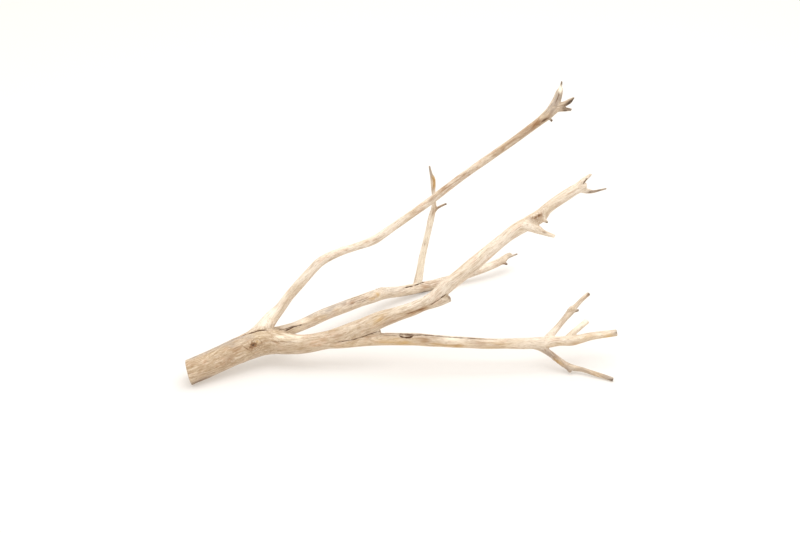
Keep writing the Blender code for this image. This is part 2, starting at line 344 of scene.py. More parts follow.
# Round off the crotches between limbs; thin twigs, by their radius in mm, keep their shape
crotches = {"strength": 2.2, "thinnest": 2.2, "fade": 5, "levels": 10,
            "passes": {"crotches": 24, "": 2}}  # there, and then everywhere
found = followGrain(readSurface(wood.data)[0])
roundOff = np.clip(crotches["strength"] * found["crotch"], 0, 1)
roundOff *= np.clip((found["radius"] * 1000 - crotches["thinnest"]) / crotches["fade"], 0, 1)
crotchGroup = wood.vertex_groups.new(name="crotches")
for level in range(1, crotches["levels"] + 1):
    members = np.flatnonzero(np.round(roundOff * crotches["levels"]).astype(int) == level)
    crotchGroup.add(members.tolist(), level / crotches["levels"], "REPLACE")
for group, passes in crotches["passes"].items():
    applyModifier(wood, "SMOOTH", iterations=passes, vertex_group=group)
wood.vertex_groups.clear()
print("crotches rounded")


# Drying cracks and seams, and one dark line of painted shade along the main branch's underside:
# width and depth in mm, how dark inside, and points along them, placed as the limbs are
cracks = {
    "trunkTop": (1.2, 1.3, 0.95, [(44, 38, 43.5), (54, 44.5, 45), (63, 50, 46.4), (70, 55, 47.8),
        (77, 57.5, 49.4), (84, 57.2, 51.4), (91, 59.1, 52.8), (101, 62, 52), (112, 63, 50)]),
    "knotBelow": (0.8, 0.6, 0.7, [(67, 36.5, 44), (74, 34, 40), (81, 34, 35.5), (88, 37, 33.8)]),
    "knotLeft": (0.7, 0.4, 0.5, [(58, 28, 40), (64, 32, 42), (73, 35, 42.3)]),
    "knotRight": (0.7, 0.4, 0.5, [(92, 46.5, 47), (97, 44.6, 43), (97, 42, 38)]),
    "fusedLine": (0.8, 0.5, 0.6, [(106, 46, 42.4), (128, 45, 43), (146, 43.6, 43.4)]),
    "backBroad": (1.2, 1.5, 1, [(125, 79, 39), (128, 81, 39.7), (134, 85, 40.3),
        (141, 90, 40.9), (149, 95, 40.7), (156, 100, 40.7)]),
    "backBeside": (1, 0.8, 0.8, [(112, 72, 42), (120, 79.5, 41.5), (127, 82.8, 41.5),
        (136, 87.8, 41.8), (143, 92, 41.9)]),
    "backStreak": (1, 0.4, 0.55, [(216, 155, 38.2), (221, 160.1, 37.7), (228, 167.7, 37.5),
        (236, 174, 36.4), (246, 184, 34.6)]),
    "backLowStreak": (0.8, 0.3, 0.4, [(226, 163, 35.8), (236, 172, 34.2), (245, 180, 32)]),
    "backEdge": (0.7, 0.5, 0.5, [(154.5, 111.6, 43), (164.5, 120.6, 43.2), (174.5, 130, 43.2)]),
    "forkSeam": (1.1, 1.2, 1, [(196, 42.8, 43), (202, 42.8, 43.7), (212, 43, 45.4),
        (222, 43, 46.9), (230, 44, 48.9), (239, 46, 50.9), (248, 47.6, 53.7), (257, 48.2, 57),
        (264, 50, 57.5), (269, 51.5, 58)]),
    "lowTop": (0.7, 0.5, 0.6, [(268, 47, 53), (278, 46.3, 52.8), (289, 46, 52.6)]),
    "scarUpper": (1.8, 0.4, 0.8, [(289, 49, 53.3), (301, 50.1, 53.4), (313, 49, 53)]),
    "scarLower": (2.3, 1.2, 1, [(290, 47, 52.6), (295, 44.7, 51.5), (302, 44.4, 51),
        (308, 45, 51.5), (313, 47.4, 52.5)]),
    "mauveLine": (2.8, 0.3, 0.7, [(288, 48.6, 53.3), (311, 47.8, 52.8), (335, 47.9, 51.9),
        (366, 46.2, 50.1), (398, 46, 48.2), (430, 46.2, 46.6)]),
    # painted shade: a dark line along the underside of the main branch, cut in as a shallow groove
    "mainUnderShadeLine": (1.2, 0.4, 0.5, [(296, 44, 87.5), (309, 43, 92.9), (317, 42.4, 96.7),
        (328, 41.8, 101)]),
    "stubSeam": (0.9, 1.3, 0.9, [(332, 40.6, 103.5), (339, 40, 109.6), (345, 41, 113.5),
        (351, 40.7, 118.9), (359, 41, 125.4)]),
    "backTwigRoot": (1.6, 1.3, 1, [(294, 233, 21.6), (304, 241.8, 19.9), (314, 249.3, 18.3),
        (320, 255.4, 17.4), (326, 261.1, 16.4), (333, 270, 14)]),
    "backTwigFork": (0.7, 0.5, 0.7, [(321, 256.5, 17), (325, 257, 14.5)]),
    "tipSeam": (1.2, 1, 1, [(540, 75, 275.4), (542, 76, 277.3), (545, 77, 281.4),
        (547, 78.2, 284.3)]),
    "prongSeam": (0.8, 0.5, 0.7, [(505, 149, 362), (509, 152.5, 371), (511, 156, 380)]),
    "trunkBehind": (1.1, 1.6, 0.9, [(12, 30, 34), (35, 45, 37), (60, 59, 42)]),
    "trunkUnder": (1, 1.2, 0.9, [(60, 36, 12), (82, 47, 14), (104, 52, 17)]),
    "mainBehind": (0.9, 1.2, 0.8, [(372, 59, 148), (392, 60, 166), (412, 63, 183)]),
    "lowBehind": (0.8, 0.9, 0.8, [(372, 55, 43), (396, 54, 42), (424, 54, 41)]),
    "highBehind": (0.7, 0.7, 0.8, [(300, 131, 202), (322, 134, 218), (345, 137, 235)]),
    "backAbove": (0.9, 0.9, 0.8, [(214.4, 164.6, 41.3), (232.5, 181.5, 40.5),
        (246.5, 196, 38.1)]),
}

# Knots and scars, where a twig once grew: place, size across in mm, how many times longer
# than wide, hollow and rim in mm, and how brown
knots = {
    "trunk": ((85.5, 39.3, 41.5), 7.5, 1.4, 1.7, 1, 0.85),
    "trunkFlake": ((91, 44, 43), 3.6, 0.8, -1, 0, 0),
    "scar": ((302, 47.6, 52.8), 4.4, 4.0, 0.7, 0.3, 0),
    "main": ((476, 59.8, 234.8), 7, 1.6, 0.8, 0.7, 0),
    "mainEdge": ((481, 59.5, 236.4), 3.2, 1, 0.9, 0.3, 0.5),
    "back": ((258.5, 198, 32), 7, 1.4, -0.6, 0.5, 0.1),
    "backBump": ((264, 215, 31), 8, 1.6, -1.4, 0, 0),
    "raisedNode": ((536, 86, 74), 6, 1.2, -0.8, 0.5, 0),
    "frontNode": ((513, 37, 20), 6, 1.2, -0.8, 0.3, 0),
    "mainBack": ((430, 65, 198), 6, 1.3, 1, 0.8, 0.6),
    "lowBack": ((240, 58, 42), 7, 1.4, 0.9, 0.9, 0.6),
    "trunkBack": ((52, 55, 30), 8, 1.3, 1.4, 1, 0.7),
    "highSide": ((210, 112, 157), 5, 1.3, -0.5, 0.4, 0.2),
}


# Noise along the grain: how much, its size along and across in mm, and its seed
def waver(spots, amount, along, across, seed):
    scaled = spots * 1000 / np.array((along, across, across)) + seed
    return amount * np.array([noise.noise(spot) for spot in scaled.tolist()])


# How cracks run; distances are in mm
cracking = {
    "far": 40.0,  # distance given where no crack is near
    "box": 7, "reach": 6, "sunk": 5,
    "wander": (0.45, 7, 30, 11.3),  # sideways, as waver takes it
    "usual": 0.8,  # part of the full width, made uneven by the next
    "uneven": (0.5, 5, 40, 3.7),
    "taper": 5, "taperPower": 0.6,  # full width a fifth of the way in
    "darken": 1.3,
}


# Signed distance to the nearest crack, its half width, depth and darkness there, in mm
def followCracks(spots, facing, grain):
    side = np.full(len(spots), cracking["far"])
    score = side.copy()
    half, depth, dark = np.zeros((3, len(spots)))
    for wide, deep, darkest, points in cracks.values():
        path = smoothPath([(*spot, 1) for spot in points])[0]
        near = spotsNear(spots, path, cracking["box"] * mm)
        gap = spots[near][:, None] - path
        nearest = (gap ** 2).sum(2).argmin(1)
        gap = gap[np.arange(len(near)), nearest]
        ahead = np.gradient(path, axis=0)
        ahead /= lengths(ahead)[:, None]
        sideways = np.cross(ahead[nearest], facing[near])
        sideways /= lengths(sideways)[:, None] + 1e-9
        away = (gap * sideways).sum(1) * 1000
        away += waver(grain[near], *cracking["wander"])
        part = nearest / (len(path) - 1)
        beyond = np.abs((gap * ahead[nearest]).sum(1)) * 1000
        taper = np.clip(np.minimum(part, 1 - part) * cracking["taper"], 0, 1)
        taper **= cracking["taperPower"]
        taper *= cracking["usual"] + waver(grain[near], *cracking["uneven"])
        width = 0.5 * wide * taper
        total = np.maximum(np.abs(away), beyond)
        sunk = np.abs((gap * facing[near]).sum(1)) > cracking["sunk"] * mm
        total[sunk] = cracking["far"]
        better = (total - width < score[near]) & (total < cracking["reach"])
        picked = near[better]
        score[picked] = (total - width)[better]
        side[picked] = np.where(away < 0, -total, total)[better]
        half[picked] = width[better]
        depth[picked] = (deep * taper)[better]
        dark[picked] = np.clip(darkest * taper * cracking["darken"], 0, darkest)[better]
    return side, half, depth, dark


# How knots sit in the wood; distances are in knot radii
knotting = {
    "far": 9.0, "reach": 5, "fade": 2.5,
    "sameSide": 0.1,  # least agreement of facing with the knot's own
    "wobble": (0.7, 2.4, 2.4, 5.1),  # of the outline, as waver takes it
    "rimAt": 1.15, "rimWidth": 0.42, "pitEdge": 1.25, "pitPower": 0.7, "core": 0.3,
}


# Distance from the nearest knot in knot radii, its lift in mm, how brown it is, and how it
# bends the grain
def followKnots(spots, facing, found):
    ratio = np.full(len(spots), knotting["far"])
    lift, brown = np.zeros((2, len(spots)))
    bend = np.zeros((len(spots), 3))
    for spot, across, long, hollow, rise, brownness in knots.values():
        middle = placed(spot)
        closest = lengths(spots - middle).argmin()
        middle = spots[closest]
        outward, ahead = facing[closest], found["ahead"][closest]
        sideways = np.cross(outward, ahead)
        size = 0.5 * mm * across  # its radius
        near = np.flatnonzero(lengths(spots - middle) < knotting["reach"] * size)
        near = near[(facing[near] @ outward) > knotting["sameSide"]]
        gap = spots[near] - middle
        x, y = gap @ ahead / long, gap @ sideways
        away = np.hypot(x, y) / size * (1 + waver(gap, *knotting["wobble"]))
        rim = rise * np.exp(-((away - knotting["rimAt"]) / knotting["rimWidth"]) ** 2)
        pit = np.clip(knotting["pitEdge"] - away, 0, 1) ** knotting["pitPower"]
        lift[near] += rim - hollow * pit
        fade = np.clip((knotting["reach"] - away) / knotting["fade"], 0, 1)
        pull = (knotting["rimAt"] / np.maximum(away, knotting["core"])) ** 2
        turned = y * -np.minimum(1, pull) * fade
        grainSide = np.array([0, 1.0, 0])  # unless the knot is mostly on one limb
        for limb, share in zip(limbs.values(), found["shares"][:, closest]):
            if share > 0.5:
                at = lengths(limb["path"] - middle).argmin()
                grainSide = np.array([0, sideways @ limb["across"][at], sideways @ limb["up"][at]])
        bend[near] += turned[:, None] * grainSide
        closer = away < ratio[near]
        ratio[near[closer]] = away[closer]
        brown[near[closer]] = brownness
    return ratio, lift, brown, bend


# Carve the wood. Each pattern is its height in mm, its size along and across the grain and
# its seed, then how that height grows with the limb's radius: from, over, least and most.
relief = {
    "swelling": (0.05, 34, 13, 2.7, 0, 1, 0, 30),
    "flutes": (0.3, 75, 4.6, 8.1, 0, 11, 0.15, 1.2),
    "ridges": (0.2, 26, 1.7, 4.4, 0, 7, 0.2, 1),
    "figure": (0.42, 9, 5, 6.6, 11, 5, 0, 1),  # wavy, on the trunk only
}
carving = {"keepCrotch": 2.5, "crackLip": 0.8, "crackDeepens": 3}  # the lip is in mm

spots, facing = readSurface(wood.data)
found = followGrain(spots)
grain = found["grain"]
thick = found["radius"] * 1000
# fusing and smoothing shrink the limbs a little, so they are first put back to size
lift = -found["outside"] * 1000 * np.clip(1 - carving["keepCrotch"] * found["crotch"], 0, 1)
for height, along, across, seed, start, span, least, most in relief.values():
    share = np.clip((thick - start) / span, least, most)
    lift += waver(grain, height * share, along, across, seed)
side, half, depth = followCracks(spots, facing, grain)[:3]
groove = np.clip(1 - np.abs(side) / (half + carving["crackLip"]), 0, 1)
lift -= depth * groove * np.clip(half * carving["crackDeepens"], 0, 1)
lift += followKnots(spots, facing, found)[1]
shift = facing * lift[:, None] * mm

# Broken ends: the last few millimetres of each limb are pushed in and out along the grain
ends = {
    "share": 0.6,  # least share of a spot that a limb moves
    "reach": 1.2, "reachMore": 1.5,  # tip radii, and mm on top
    "slant": 0.25, "slantTurn": 3,
    "torn": 0.66, "fibres": (9, 1.5), "seedStep": 3.3,
    "rimFrom": 0.6, "rimWorn": 0.35,
}
for i, (name, limb) in enumerate(limbs.items()):
    if name == "forkWeb":  # it has no end of its own
        continue
    mine = np.flatnonzero(found["shares"][i] > ends["share"])
    along, across, up = measureOn(limb, spots[mine])[:3]
    tip = limb["radius"][-1]
    toEnd = limb["along"][-1] - along
    atEnd = np.clip(1 - toEnd / (ends["reach"] * tip + ends["reachMore"] * mm), 0, 1)
    turn = ends["slantTurn"] * i
    slant = ends["slant"] * (across * math.sin(turn) + up * math.cos(turn))
    section = np.column_stack([along * 0, across, up])
    torn = waver(section, ends["torn"] * mm, *ends["fibres"], ends["seedStep"] * i)
    torn -= ends["rimWorn"] * np.clip(np.hypot(across, up) - ends["rimFrom"] * tip, 0, 1)
    shift[mine] += limb["ahead"][-1] * (atEnd * (slant + torn))[:, None]
moveSpots(wood.data, spots + shift)
print("wood carved")

# Thin the mesh of squares where it is smooth, and saw off the thick end a little short
applyModifier(wood, "DECIMATE", ratio=branch["faces"] / (2 * len(wood.data.polygons)))

yaw, pitch = math.radians(branch["sawYawDeg"]), math.radians(branch["sawPitchDeg"])
sawFacing = Vector((-math.cos(pitch) * math.cos(yaw), -math.cos(pitch) * math.sin(yaw),
                    -math.sin(pitch)))
sawSpot = Vector(placed(branch["sawPoint"])) - sawFacing * branch["sawEdgeDeep"] * mm
selectOnly(wood)
bpy.ops.object.mode_set(mode="EDIT")
bpy.ops.mesh.select_all(action="SELECT")
bpy.ops.mesh.bisect(plane_co=sawSpot, plane_no=sawFacing, use_fill=True, clear_outer=True)
bpy.ops.mesh.select_all(action="DESELECT")
bpy.ops.object.mode_set(mode="OBJECT")

# The sawn face steps out to its full place inside a narrow worn edge, and has its own material
wood.data.materials.clear()
for name in ("sunBleachedDriftwood", "sawnEndGrain"):
    wood.data.materials.append(bpy.data.materials.new(name))
for face in wood.data.polygons:
    face.use_smooth = True
    if len(face.vertices) > branch["sawnCorners"]:
        face.select = True
        face.material_index = 1
bpy.ops.object.mode_set(mode="EDIT")
bpy.ops.mesh.select_mode(type="FACE")
bpy.ops.mesh.inset(thickness=branch["sawEdgeWide"] * mm, depth=branch["sawEdgeDeep"] * mm)
bpy.ops.object.mode_set(mode="OBJECT")
for face in wood.data.polygons:
    if face.material_index == 1:
        face.use_smooth = False
        face.material_index = int(len(face.vertices) > branch["sawnCorners"])
print("end sawn off:", len(wood.data.polygons), "faces")


# Rest on the floor, and read the finished surface for the material
spots = readSurface(wood.data)[0]
spots[:, 2] = np.maximum(spots[:, 2], 0)
moveSpots(wood.data, spots)
spots, facing = readSurface(wood.data)
found = followGrain(spots)
grain = found["grain"]
side, half, _, dark = followCracks(spots, facing, grain)
knotRatio, _, knotBrown, knotBend = followKnots(spots, facing, found)

# Stains and bare places, and among them painted shade and painted highlights: spot, reach in mm,
# strength of brown, grey, fresh wood and painted light, dark and warm, where what is left off at
# the end is 0
stainsAndPaintedShade = [
    # trunk: knot, grey upper side, cream band before the fork painted as a highlight along the
    # top, painted contact shadow low on the front of the sawn end where it rests on the floor, and
    # painted shade with some brown in the crotch where the back and high limbs leave the stem
    (85, 39, 41, 8, 0.5), (74, 34, 39, 6, 0.4), (91, 44, 43, 4, 0, 0, 0.1, 0, 0.9),
    (98, 46, 42, 5, 0.35), (4, 18, 36, 8, 0, 0.9), (20, 27, 38, 9, 0, 1),
    (36, 37, 42, 9, 0, 1), (52, 46, 45, 9, 0, 1), (66, 50, 47, 9, 0, 0.9, 0.1),
    (80, 47, 48.4, 7, 0, 0.35, 0.1), (50, 38, 45, 9, 0, 0.4, 0.15), (70, 41, 46, 9, 0, 0.35, 0.2),
    (64, 30.6, 40.3, 8, 0.4), (56, 37, 44.5, 7, 0, 0.4), (18, 28, 36.8, 6, 0.35),
    (51, 19.7, 32.2, 8, 0.3, 0.2), (2, -8, 5, 7, 0.4, 0.5, 0, 0.35),
    (14, -1, 6, 7, 0.4, 0.5, 0, 0.35), (26, 6, 8, 7, 0.3, 0.4, 0, 0.2), (36, 12, 11, 7, 0.1, 0.3),
    (8, 5, 30, 9, 0.35), (14, 0, 22, 8, 0.35), (124, 51, 47.5, 9, 0, 0, 0.4),
    (135, 52, 48, 9, 0, 0, 0.45), (147, 49, 47, 9, 0, 0, 0.45),
    (119, 77.5, 40.8, 3.6, 0.6, 0, 0, 0.5), (118, 82, 43.2, 3.4, 0.4, 0, 0, 0.35),
    (125, 78, 36, 6, 0.5, 0, 0, 0.1), (109, 69.5, 54.5, 4, 0.3, 0, 0, 0.15),
    (150, 101, 42.5, 9, 0, 0, 0.5, 0, 0.1), (144, 93, 36, 8, 0, 0, 0.3, 0, 0.3),
    # back limb: grey upper edge, brown streaks, yellow knot, and grey and dark painted contact
    # shadow low under it where it lies on the floor
    (160, 117, 43, 7, 0, 0.6), (175, 129, 43, 9, 0, 0.7),
    (159, 104.5, 41.7, 7, 0, 0, 0.3, 0, 0.2), (170, 112.4, 40.4, 6, 0.4),
    (180, 120.4, 37.3, 6, 0.1, 0, 0, 0, 0.8), (186, 131.4, 42.6, 7, 0, 0.6),
    (200, 139.7, 37.7, 7, 0.2, 0, 0, 0, 0.5), (158, 108, 33, 7, 0.25, 0, 0, 0, 0.3),
    (190, 142, 43.4, 12, 0, 0.6), (211, 161, 41.7, 12, 0, 0.5), (221, 161.6, 38.5, 6, 0.5),
    (230, 170, 37.9, 6, 0.5), (242, 181, 36.5, 6, 0.5), (256, 195.6, 32.5, 7, 0.15, 0, 0, 0, 1),
    (252, 189.7, 31.5, 6, 0.3, 0, 0, 0, 0.7), (250, 195.2, 36.2, 7, 0, 0.6),
    (260, 217, 31, 9, 0, 0.6), (278, 232.6, 25.2, 9, 0, 0.5), (285, 225, 24, 12, 0, 0.4),
    (323, 251.2, 14.6, 8, 0.6), (335, 258.8, 12, 8, 0.7), (348, 266, 11.3, 9, 0.6, 0.1),
    (322, 258, 17, 6, 0.5, 0.2, 0, 0.2), (300, 236, 7.3, 7, 0.2, 0.5, 0, 0.15),
    (308, 242, 5.5, 6, 0.2, 0.5, 0, 0.35), (317, 248.5, 3.5, 6, 0.2, 0.5, 0, 0.6),
    (325, 253, 2.8, 6, 0.2, 0.5, 0, 0.7), (333, 257, 2.6, 6, 0.2, 0.5, 0, 0.7),
    (342, 262, 2.8, 6, 0.2, 0.5, 0, 0.6), (352, 268, 2.8, 6, 0.2, 0.5, 0, 0.4),
    (461, 319, 17, 4, 0.3, 0.2, 0, 0.9), (477, 338, 25, 6, 0.2, 0.6, 0, 0.3),
    (454, 320, 18, 7, 0.5, 0.1),
    # fork and stub, and brown painted shade along the lower front of the main branch above the
    # fork
    (268, 43, 46, 9, 0, 0, 0, 0, 0.35), (284, 42, 46, 8, 0, 0, 0, 0, 0.25), (205, 46, 53, 8, 0.5),
    (262, 46, 78, 9, 0, 0, 0, 0, 0.6), (270, 45, 71, 7, 0.45), (281, 44.8, 76.8, 7, 0.45),
    (292, 44.4, 82.8, 8, 0.7, 0, 0, 0, 0.2), (309, 43, 91, 8, 0.9, 0, 0, 0, 0.3),
    (326, 42, 99, 8, 0.8, 0, 0, 0, 0.2), (361, 43, 116, 6, 0.45, 0.7, 0, 0.25),
    # scar and patches of the low limb
    (302, 48, 53, 5, 0.2, 0, 0.2, 0, 0.1), (326, 41.3, 48.5, 9, 0.7, 0, 0, 0, 0.2),
    (366, 43.4, 48.9, 10, 0, 0, 0.9), (370, 39.4, 39.8, 8, 0.6, 0, 0, 0, 0.8),
    (403, 39.5, 43.8, 8, 0.6), (300, 41, 43, 9, 0.1, 0.3, 0, 0, 0.6),
    (345, 39.5, 44, 9, 0.4, 0, 0, 0, 0.3), (430, 40, 42, 9, 0.4, 0, 0, 0, 0.3),
    # knot, spurs and tip of the main branch
    (473, 59.4, 233.5, 4.5, 0.9, 0, 0, 0.3), (478, 58, 234, 4.5, 0.9, 0, 0, 0.3),
    (482, 59.5, 236.5, 4.5, 0.9, 0, 0, 0.4), (478, 54, 229, 6, 0.5), (487, 56.4, 229.7, 4, 0.5),
    (493, 57, 227, 2.8, 0.3, 0.2, 0, 0.9), (488.5, 49, 215.5, 3, 0.7, 0, 0, 0.4),
    (502, 47, 210, 5, 0, 0, 0.6), (550, 80, 288, 5, 0.25, 0, 0.2),
    (551, 78, 263, 5, 0.7, 0, 0, 0.7), (558, 81, 262.5, 4, 0.4, 0.5, 0, 0.3),
    (564, 82, 263.5, 5, 0.4, 0, 0, 0.8), (572, 83, 265, 4, 0, 1, 0, 0.2),
    # head of the high limb
    (506, 150, 362, 9, 0.1, 0.7), (508.5, 154, 370.5, 8, 0, 1), (497, 149, 353, 9, 0, 0.6),
    (512, 157, 379, 5, 0, 0, 1), (512.5, 158, 383, 4, 0, 0, 1),
    (514, 161.5, 388.5, 3.4, 0.3, 0.3, 0, 0.9), (520, 148, 363, 5, 0.5, 0, 0, 0.3),
    (525, 146, 366, 5.5, 0.2, 0, 0, 1), (529.5, 147, 371.5, 4, 0, 0.2, 0, 0.7),
    (519.5, 147.5, 353.5, 4, 0.3, 0, 0, 0.9), (527, 147, 354, 3.6, 0, 0.9, 0, 0.15),
    (502.5, 145.5, 337.5, 3.6, 0.1, 0.3, 0, 1), (491, 145, 340, 3.2, 0.8, 0, 0, 0.9),
    (485, 144.5, 335.8, 6, 0.9, 0, 0, 0.1), (480, 143.8, 331.6, 7, 0.8),
    (471, 143, 326, 7, 0.5, 0.2), (496, 145.5, 347, 6, 0.3, 0.3, 0, 0, 0.2),
    # patches along the high limb, and its white root
    (257, 112, 171, 4.5, 0.6, 0, 0, 0, 0.2), (246, 111, 168.6, 4.5, 0.5, 0, 0, 0, 0.2),
    (351, 129.6, 241, 6, 0.9, 0, 0, 0, 0.1), (358, 129.2, 245.3, 6, 0.6, 0.1),
    (337, 125.6, 228.3, 6, 0.5, 0.2), (313, 121.6, 209.9, 6, 0.35, 0, 0, 0, 0.2),
    (373, 131.9, 257.9, 6, 0.5), (383, 132.5, 263.8, 6, 0.5, 0.1), (424, 141.1, 296.5, 6, 0.5),
    (434, 139.1, 300.5, 6, 0.5), (447, 140.7, 310, 8, 0.4, 0.2), (461, 142, 320, 8, 0.4, 0.2),
    (100, 72, 58, 10, 0, 0, 0.6), (110, 84, 72, 9, 0, 0, 0.6), (126, 88, 90, 9, 0, 0, 0.5),
    # upright twig and its fork
    (337, 261, 212, 8, 0, 0.9, 0, 0.1), (338, 260, 200, 7, 0, 0.6),
    (322, 259, 20, 13, 0, 0, 0.7, 0, 0.1), (323, 259, 44, 14, 0, 0, 0.7, 0, 0.15),
    (328, 258, 70, 14, 0, 0, 0.7, 0, 0.15), (334, 257, 98, 14, 0, 0, 0.7, 0, 0.1),
    (339, 257, 124, 10, 0, 0, 0.5, 0, 0.1), (343.5, 259, 192, 6, 0.4, 0, 0, 0, 0.9),
    (343.5, 259, 184, 6, 0.4, 0, 0, 0, 0.9), (340, 260, 179, 5, 0.35, 0.35),
    (343, 258, 142, 5, 0.5, 0, 0, 0, 0.5), (352, 258, 148, 5, 0.6, 0.2, 0, 0.35),
    (361, 257, 155, 5, 0.4, 0, 0, 0.8),
    # right end of the low limb and its twigs
    (541, 51, 36, 7, 0.4, 0, 0, 0, 0.3), (562, 58, 44, 7, 0.2, 0, 0, 0, 0.3),
    (577, 60.7, 45, 9, 0, 0, 0.5, 0, 0.1), (600, 65.5, 47, 6, 0, 0, 0.5),
    (588, 62.6, 41, 8, 0.05, 0, 0, 0, 0.7), (599, 65, 41, 7, 0.05, 0, 0, 0, 0.7),
    (601, 65, 46, 5, 0.5, 0, 0, 0.8), (530, 82, 64, 8, 0.2, 0.4), (542, 92, 77, 5, 0.3),
    (547, 84, 72.5, 4, 0.2, 0, 0, 0.9), (556, 100, 83, 7, 0.5, 0.1),
    (563, 105, 87, 4, 0.3, 0.2, 0, 0.8), (545, 66, 55, 8, 0, 0, 0.6),
    (557, 73, 60.5, 8, 0, 0, 0.8), (502, 41, 28.7, 8, 0.2, 0.6),
    (509, 38, 23.8, 8, 0.3, 0.5, 0, 0.2), (515, 35, 17, 6, 0.4, 0, 0, 0.1, 0.9),
    (531, 28, 6.5, 5, 0.2, 0.4, 0, 0.2), (555, 26, 8, 8, 0.2, 0.4, 0, 0, 0.2),
    (570, 18.4, 7, 10, 0.1, 0.7, 0, 0, 0.4), (585, 12, 5, 7, 0.2, 0.6, 0, 0.1),
    (591, 9, 3.4, 4, 0.2, 0.2, 0, 0.85),
]
stainingAndShading = {
    "roam": (0.7, 16, 4, 21.0),  # how their outlines wander, as waver takes it
    "along": 1.7, "across": 1.15,  # they run along the grain
    "fade": 0.62,  # part of the reach
    "besideCracks": 0.4, "crackEdge": 1.5,  # how brown, and how many mm wide
    # undersides get grey painted shade and paler painted light, as if bounced up from the floor
    "paintedShadeUnder": 0.3, "paintedLightUnder": 0.4, "warmSides": 0.8,
    "most": (1, 0.75, 1, 1, 1),
}
masks = np.zeros((len(spots), 5))
roam = 1 + waver(grain, *stainingAndShading["roam"])
for x, y, z, reach, *strength in stainsAndPaintedShade:
    closest = lengths(spots - placed((x, y, z))).argmin()
    gap = (spots - spots[closest]) * 1000
    forward = gap @ found["ahead"][closest]
    sideways = np.sqrt(np.clip((gap ** 2).sum(1) - forward ** 2, 0, None))
    away = np.hypot(forward / stainingAndShading["along"], stainingAndShading["across"] * sideways) * roam
    amount = np.exp(-(away / (stainingAndShading["fade"] * reach)) ** 2)
    masks[:, :len(strength)] += amount[:, None] * np.array(strength)
besideCrack = np.clip(1 - (np.abs(side) - half) / stainingAndShading["crackEdge"], 0, 1)
underside = np.clip(-facing[:, 2], 0, 1)
tone, grey, warm = found["looks"].T
masks[:, 0] += stainingAndShading["besideCracks"] * dark * besideCrack
# painted shade and painted light on the undersides, by how far each spot faces down
masks[:, 1] += grey + stainingAndShading["paintedShadeUnder"] * underside
masks[:, 2] += stainingAndShading["paintedLightUnder"] * underside
masks[:, 4] += warm * stainingAndShading["warmSides"] * (1 - facing[:, 2])
masks = np.clip(masks, 0, stainingAndShading["most"])

# The grain drifts sideways along the limbs and waves in the trunk: how far, and the size of
# that along and across, in mm. The figure across the grain is strong in the trunk only.
wandering = {"drift": (4.2, 38, 11), "wave": (1.4, 8, 12), "waveFrom": 0.4, "waveGrowth": 1.4,
             "figureLeast": 0.12, "figureGrowth": 0.6}
drift, *driftSize = wandering["drift"]
wave, *waveSize = wandering["wave"]
wave = wave * mm * np.clip(wandering["waveGrowth"] * tone - wandering["waveFrom"], 0, 1)
for axis, seed in ((1, 31.0), (2, 41.0)):
    grain[:, axis] += (waver(grain, drift * mm, *driftSize, seed)
                       + waver(grain, wave, *waveSize, seed + 4))
figure = wandering["figureLeast"] + wandering["figureGrowth"] * tone


# One attribute for the material to read
def paint(name, kind, key, values):
    layer = wood.data.attributes.new(name, kind, "POINT")
    layer.data.foreach_set(key, np.ascontiguousarray(values, dtype=np.float32).ravel())


paint("grain", "FLOAT_VECTOR", "vector", grain + knotBend)
paint("stainAndShade", "FLOAT_COLOR", "color", masks[:, :4])
paint("crack", "FLOAT_VECTOR", "vector", np.column_stack([side, half, dark]))
paint("knot", "FLOAT_VECTOR", "vector", np.column_stack([knotRatio, knotBrown, 0 * knotBrown]))
paint("tint", "FLOAT_VECTOR", "vector", np.column_stack([tone, masks[:, 4], figure]))
print("grain, stains, cracks and knots painted on")


# sRGB hex to the linear colour that a shader takes
def colour(hexCode):
    values = [int(hexCode[i:i + 2], 16) / 255 for i in (0, 2, 4)]
    return (*[v / 12.92 if v <= 0.04045 else ((v + 0.055) / 1.055) ** 2.4 for v in values], 1.0)


# One node with its inputs, which are values or other nodes' outputs, and its settings.
# Gives back its outputs.
def addNode(tree, kind, inputs, **settings):
    node = tree.nodes.new("ShaderNode" + kind)
    for key, value in settings.items():
        setattr(node, key, value)
    sockets = {socket.identifier: socket for socket in node.inputs}
    for key, value in inputs.items():
        if isinstance(value, bpy.types.NodeSocket):
            tree.links.new(value, sockets[key])
        else:
            sockets[key].default_value = value
    return node.outputs


# The colours of a wood one over the other, then its relief and its gloss. Values are the
# outputs that the layers follow or get their strength from, by name.
def layWood(tree, look, values):
    tint, amounts = colour(look["pale"]), {}
    for name, (follows, low, high, strength, shade) in look["layers"].items():
        amounts[name] = addNode(tree, "MapRange", {
            "Value": values[follows], "From Min": low, "From Max": high,
            "To Max": values.get(strength, strength)}, interpolation_type="SMOOTHSTEP")[0]
        tint = addNode(tree, "Mix", {
            "Factor_Float": amounts[name], "A_Color": tint, "B_Color": colour(look[shade])},
            data_type="RGBA")[2]
    height = 0.0
    for source, steps in ((values, look["raised"]), (amounts, look["sunk"])):
        for name, amount in steps.items():
            height = addNode(tree, "Math", {
                "Value": source[name], "Value_001": amount, "Value_002": height},
                operation="MULTIPLY_ADD")[0]
    bump = addNode(tree, "Bump", {
        "Strength": look["bump"], "Distance": mm, "Height": height})[0]
    surface = addNode(tree, "BsdfPrincipled", {
        "Base Color": tint, "Roughness": look["roughness"], "Normal": bump,
        "Specular IOR Level": look["specular"]})[0]
    addNode(tree, "OutputMaterial", {"Surface": surface})


